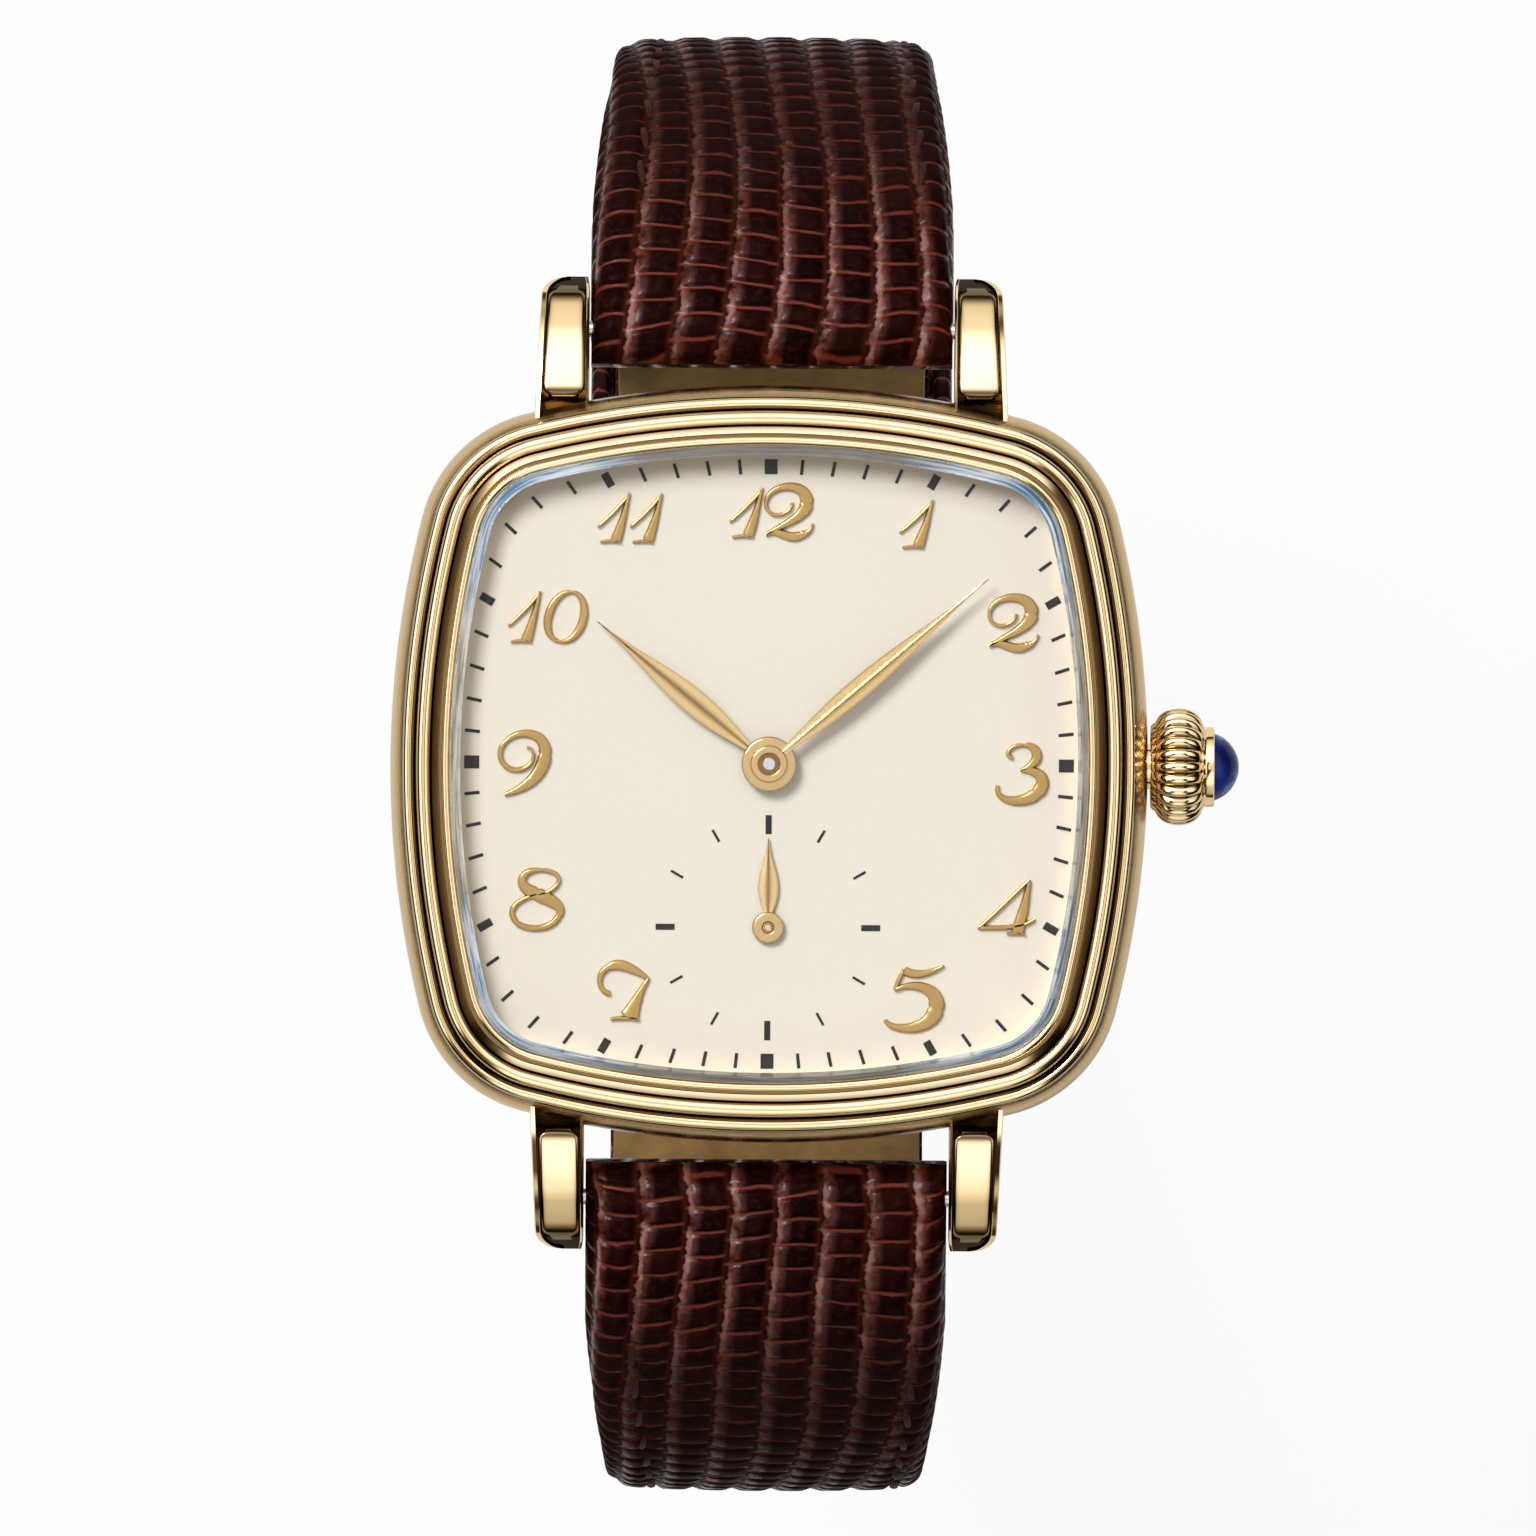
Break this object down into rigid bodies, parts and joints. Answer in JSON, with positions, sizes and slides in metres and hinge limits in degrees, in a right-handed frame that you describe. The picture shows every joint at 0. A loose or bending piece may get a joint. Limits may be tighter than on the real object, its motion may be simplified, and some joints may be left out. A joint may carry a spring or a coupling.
{
  "type": "mechanical wristwatch",
  "caption": "Hand-wound wristwatch with a cushion-shaped gold case, stepped bezel, small seconds, onion crown with a blue cabochon and a lizard strap with a pin buckle",
  "frame": {"origin": "centre of the case back's flat outer face, on the axis of the hour and minute hand", "axes": "+Z out of the dial towards the wearer's eye, +Y towards 12 o'clock, +X towards the crown at 3 o'clock"},
  "size_m": [0.0421, 0.0728, 0.0949],
  "materials": {
    "polished_gold": "polished",
    "brushed_gold": "brushed",
    "steel": "polished",
    "wheel_brass": "satin",
    "rhodium_plate": "satin",
    "ruby": "polished",
    "dial_ivory": "grained matte",
    "lizard_leather": "glossy scales",
    "lining_leather": "matte",
    "lapis": "polished",
    "rubber_black": "matte",
    "clear_crystal": "clear",
    "blued_spring": "blued"
  },
  "bodies": {
    "case": {"case_band": "brushed_gold", "bezel": "polished_gold", "crystal": "clear_crystal", "gaskets": "rubber_black", "case_back": "polished_gold", "window_glass_disc": "clear_crystal", "screws": "steel", "movement_ring": "wheel_brass", "dial": "dial_ivory", "hour_numerals": "polished_gold", "crown_tube": "polished_gold", "mainplate": "rhodium_plate", "barrel_bridge": "rhodium_plate", "train_bridge": "rhodium_plate", "balance_cock": "rhodium_plate", "pallet_bridge": "rhodium_plate", "jewels": "ruby", "click_spring": "steel", "balance_spring": "blued_spring", "regulator": "steel", "spring_bars": "steel"},
    "minute": {"center_wheel": "wheel_brass", "cannon_pinion": "steel", "minute_hand": "polished_gold"},
    "hour": {"hour_wheel": "wheel_brass", "hour_hand": "polished_gold"},
    "minute_works": {"minute_wheel": "wheel_brass"},
    "setting": {"setting_wheel": "steel"},
    "third": {"third_wheel": "wheel_brass"},
    "seconds": {"fourth_wheel": "wheel_brass", "seconds_hand": "polished_gold"},
    "escape": {"escape_wheel": "steel"},
    "pallet": {"pallet_fork": "steel"},
    "balance": {"balance_wheel": "polished_gold"},
    "barrel_drum": {"barrel": "wheel_brass", "barrel_cover": "wheel_brass", "mainspring": "steel"},
    "ratchet": {"ratchet_wheel": "steel", "barrel_arbor": "steel"},
    "crown_gear": {"crown_wheel": "steel"},
    "click_lever": {"click": "steel"},
    "stem_drive": {"winding_pinion": "steel"},
    "crown_knob": {"crown": "polished_gold", "crown_cabochon": "lapis", "crown_gasket": "rubber_black", "winding_stem": "steel"},
    "clutch": {"sliding_pinion": "steel"},
    "set_lever": {"setting_lever": "steel"},
    "yoke_lever": {"yoke": "steel"},
    "upper_half": {"strap_upper": "lizard_leather", "strap_upper_lining": "lining_leather", "keeper_fixed": "lizard_leather", "buckle_bar": "steel"},
    "lower_half": {"strap_lower": "lizard_leather", "strap_lower_lining": "lining_leather"},
    "loose_keeper": {"keeper_free": "lizard_leather"},
    "frame": {"buckle_frame": "polished_gold"},
    "tongue": {"buckle_tongue": "polished_gold"},
    "upper_tip": {"upper_bar_tip": "steel"},
    "lower_tip": {"lower_bar_tip": "steel"}
  },
  "joints": [
    {"name": "minute_turn", "type": "hinge", "parent": "case", "child": "minute", "pos_m": [0, 0, 0.003], "axis": [0, 0, 1], "continuous": true},
    {"name": "hour_turn", "type": "hinge", "parent": "case", "child": "hour", "pos_m": [0, 0, 0.0057], "axis": [0, 0, 1], "continuous": true},
    {"name": "minute_works_turn", "type": "hinge", "parent": "case", "child": "minute_works", "pos_m": [0.00271, 0.00098, 0.0054], "axis": [0, 0, 1], "continuous": true},
    {"name": "setting_wheel_turn", "type": "hinge", "parent": "case", "child": "setting", "pos_m": [0.00602, 0.0004, 0.0054], "axis": [0, 0, 1], "continuous": true},
    {"name": "third_turn", "type": "hinge", "parent": "case", "child": "third", "pos_m": [0.00334, -0.0048, 0.0034], "axis": [0, 0, 1], "continuous": true},
    {"name": "seconds_turn", "type": "hinge", "parent": "case", "child": "seconds", "pos_m": [0, -0.00808, 0.0033], "axis": [0, 0, 1], "continuous": true},
    {"name": "escape_turn", "type": "hinge", "parent": "case", "child": "escape", "pos_m": [-0.00372, -0.00673, 0.0037], "axis": [0, 0, 1], "continuous": true},
    {"name": "barrel_turn", "type": "hinge", "parent": "case", "child": "barrel_drum", "pos_m": [0.00276, 0.00591, 0.0034], "axis": [0, 0, 1], "continuous": true},
    {"name": "pallet_swing", "type": "hinge", "parent": "case", "child": "pallet", "pos_m": [-0.00567, -0.00478, 0.0037], "axis": [0, 0, 1], "range_deg": [-5, 5]},
    {"name": "balance_swing", "type": "hinge", "parent": "case", "child": "balance", "pos_m": [-0.00786, -0.00259, 0.0032], "axis": [0, 0, 1], "range_deg": [-270, 270], "stiffness_Nm_per_rad": 0.0000002},
    {"name": "stem_turn", "type": "hinge", "parent": "case", "child": "stem_drive", "pos_m": [0.0097, 0, 0.0039], "axis": [1, 0, 0], "continuous": true},
    {"name": "crown_wheel_turn", "type": "hinge", "parent": "case", "child": "crown_gear", "pos_m": [0.0074, 0, 0.0015], "axis": [0, 0, 1], "continuous": true},
    {"name": "ratchet_turn", "type": "hinge", "parent": "case", "child": "ratchet", "pos_m": [0.00276, 0.00591, 0.0015], "axis": [0, 0, 1], "continuous": true},
    {"name": "click_lift", "type": "hinge", "parent": "case", "child": "click_lever", "pos_m": [-0.00263, 0.00877, 0.0016], "axis": [0, 0, 1], "range_deg": [0, 12], "stiffness_Nm_per_rad": 0.000001, "springref_deg": -5.73},
    {"name": "crown_pull", "type": "slide", "parent": "stem_drive", "child": "crown_knob", "axis": [1, 0, 0], "range_m": [0, 0.001]},
    {"name": "clutch_slide", "type": "slide", "parent": "stem_drive", "child": "clutch", "axis": [1, 0, 0], "range_m": [-0.0006, 0]},
    {"name": "setting_lever_swing", "type": "hinge", "parent": "case", "child": "set_lever", "pos_m": [0.0112, 0.0024, 0.0053], "axis": [0, 0, 1], "range_deg": [0, 24]},
    {"name": "yoke_swing", "type": "hinge", "parent": "case", "child": "yoke_lever", "pos_m": [0.00815, -0.0041, 0.0053], "axis": [0, 0, 1], "range_deg": [0, 11.2]},
    {"name": "upper_strap_swing", "type": "hinge", "parent": "case", "child": "upper_half", "pos_m": [0, 0.0215, 0.0025], "axis": [1, 0, 0], "range_deg": [0, 100]},
    {"name": "lower_strap_swing", "type": "hinge", "parent": "case", "child": "lower_half", "pos_m": [0, -0.0215, 0.0025], "axis": [-1, 0, 0], "range_deg": [0, 100]},
    {"name": "keeper_slide", "type": "slide", "parent": "upper_half", "child": "loose_keeper", "axis": [0, -0.6428, -0.766], "range_m": [0, 0.006]},
    {"name": "buckle_swing", "type": "hinge", "parent": "upper_half", "child": "frame", "pos_m": [0, 0.01148, -0.05998], "axis": [1, 0, 0], "range_deg": [-70, 15]},
    {"name": "tongue_lift", "type": "hinge", "parent": "frame", "child": "tongue", "pos_m": [0, 0.01148, -0.05998], "axis": [1, 0, 0], "range_deg": [0, 60]},
    {"name": "upper_tip_press", "type": "slide", "parent": "case", "child": "upper_tip", "axis": [-1, 0, 0], "range_m": [0, 0.0008], "stiffness_N_per_m": 1500, "springref_m": -0.0005},
    {"name": "lower_tip_press", "type": "slide", "parent": "case", "child": "lower_tip", "axis": [-1, 0, 0], "range_m": [0, 0.0008], "stiffness_N_per_m": 1500, "springref_m": -0.0005}
  ],
  "couplings": [
    {"joint": "hour_turn", "follows": "seconds_turn", "ratio": 0.0013889},
    {"joint": "minute_works_turn", "follows": "seconds_turn", "ratio": -0.0055556},
    {"joint": "setting_wheel_turn", "follows": "seconds_turn", "ratio": 0.01},
    {"joint": "third_turn", "follows": "seconds_turn", "ratio": -0.13333},
    {"joint": "minute_turn", "follows": "seconds_turn", "ratio": 0.016667},
    {"joint": "escape_turn", "follows": "seconds_turn", "ratio": -10},
    {"joint": "barrel_turn", "follows": "seconds_turn", "ratio": -0.0020833},
    {"joint": "crown_wheel_turn", "follows": "stem_turn", "ratio": 0.66667},
    {"joint": "ratchet_turn", "follows": "stem_turn", "ratio": -0.34483},
    {"joint": "clutch_slide", "follows": "crown_pull", "ratio": -0.6},
    {"joint": "setting_lever_swing", "follows": "crown_pull", "rad_per_m": 418.88},
    {"joint": "yoke_swing", "follows": "crown_pull", "rad_per_m": 195.48}
  ]
}
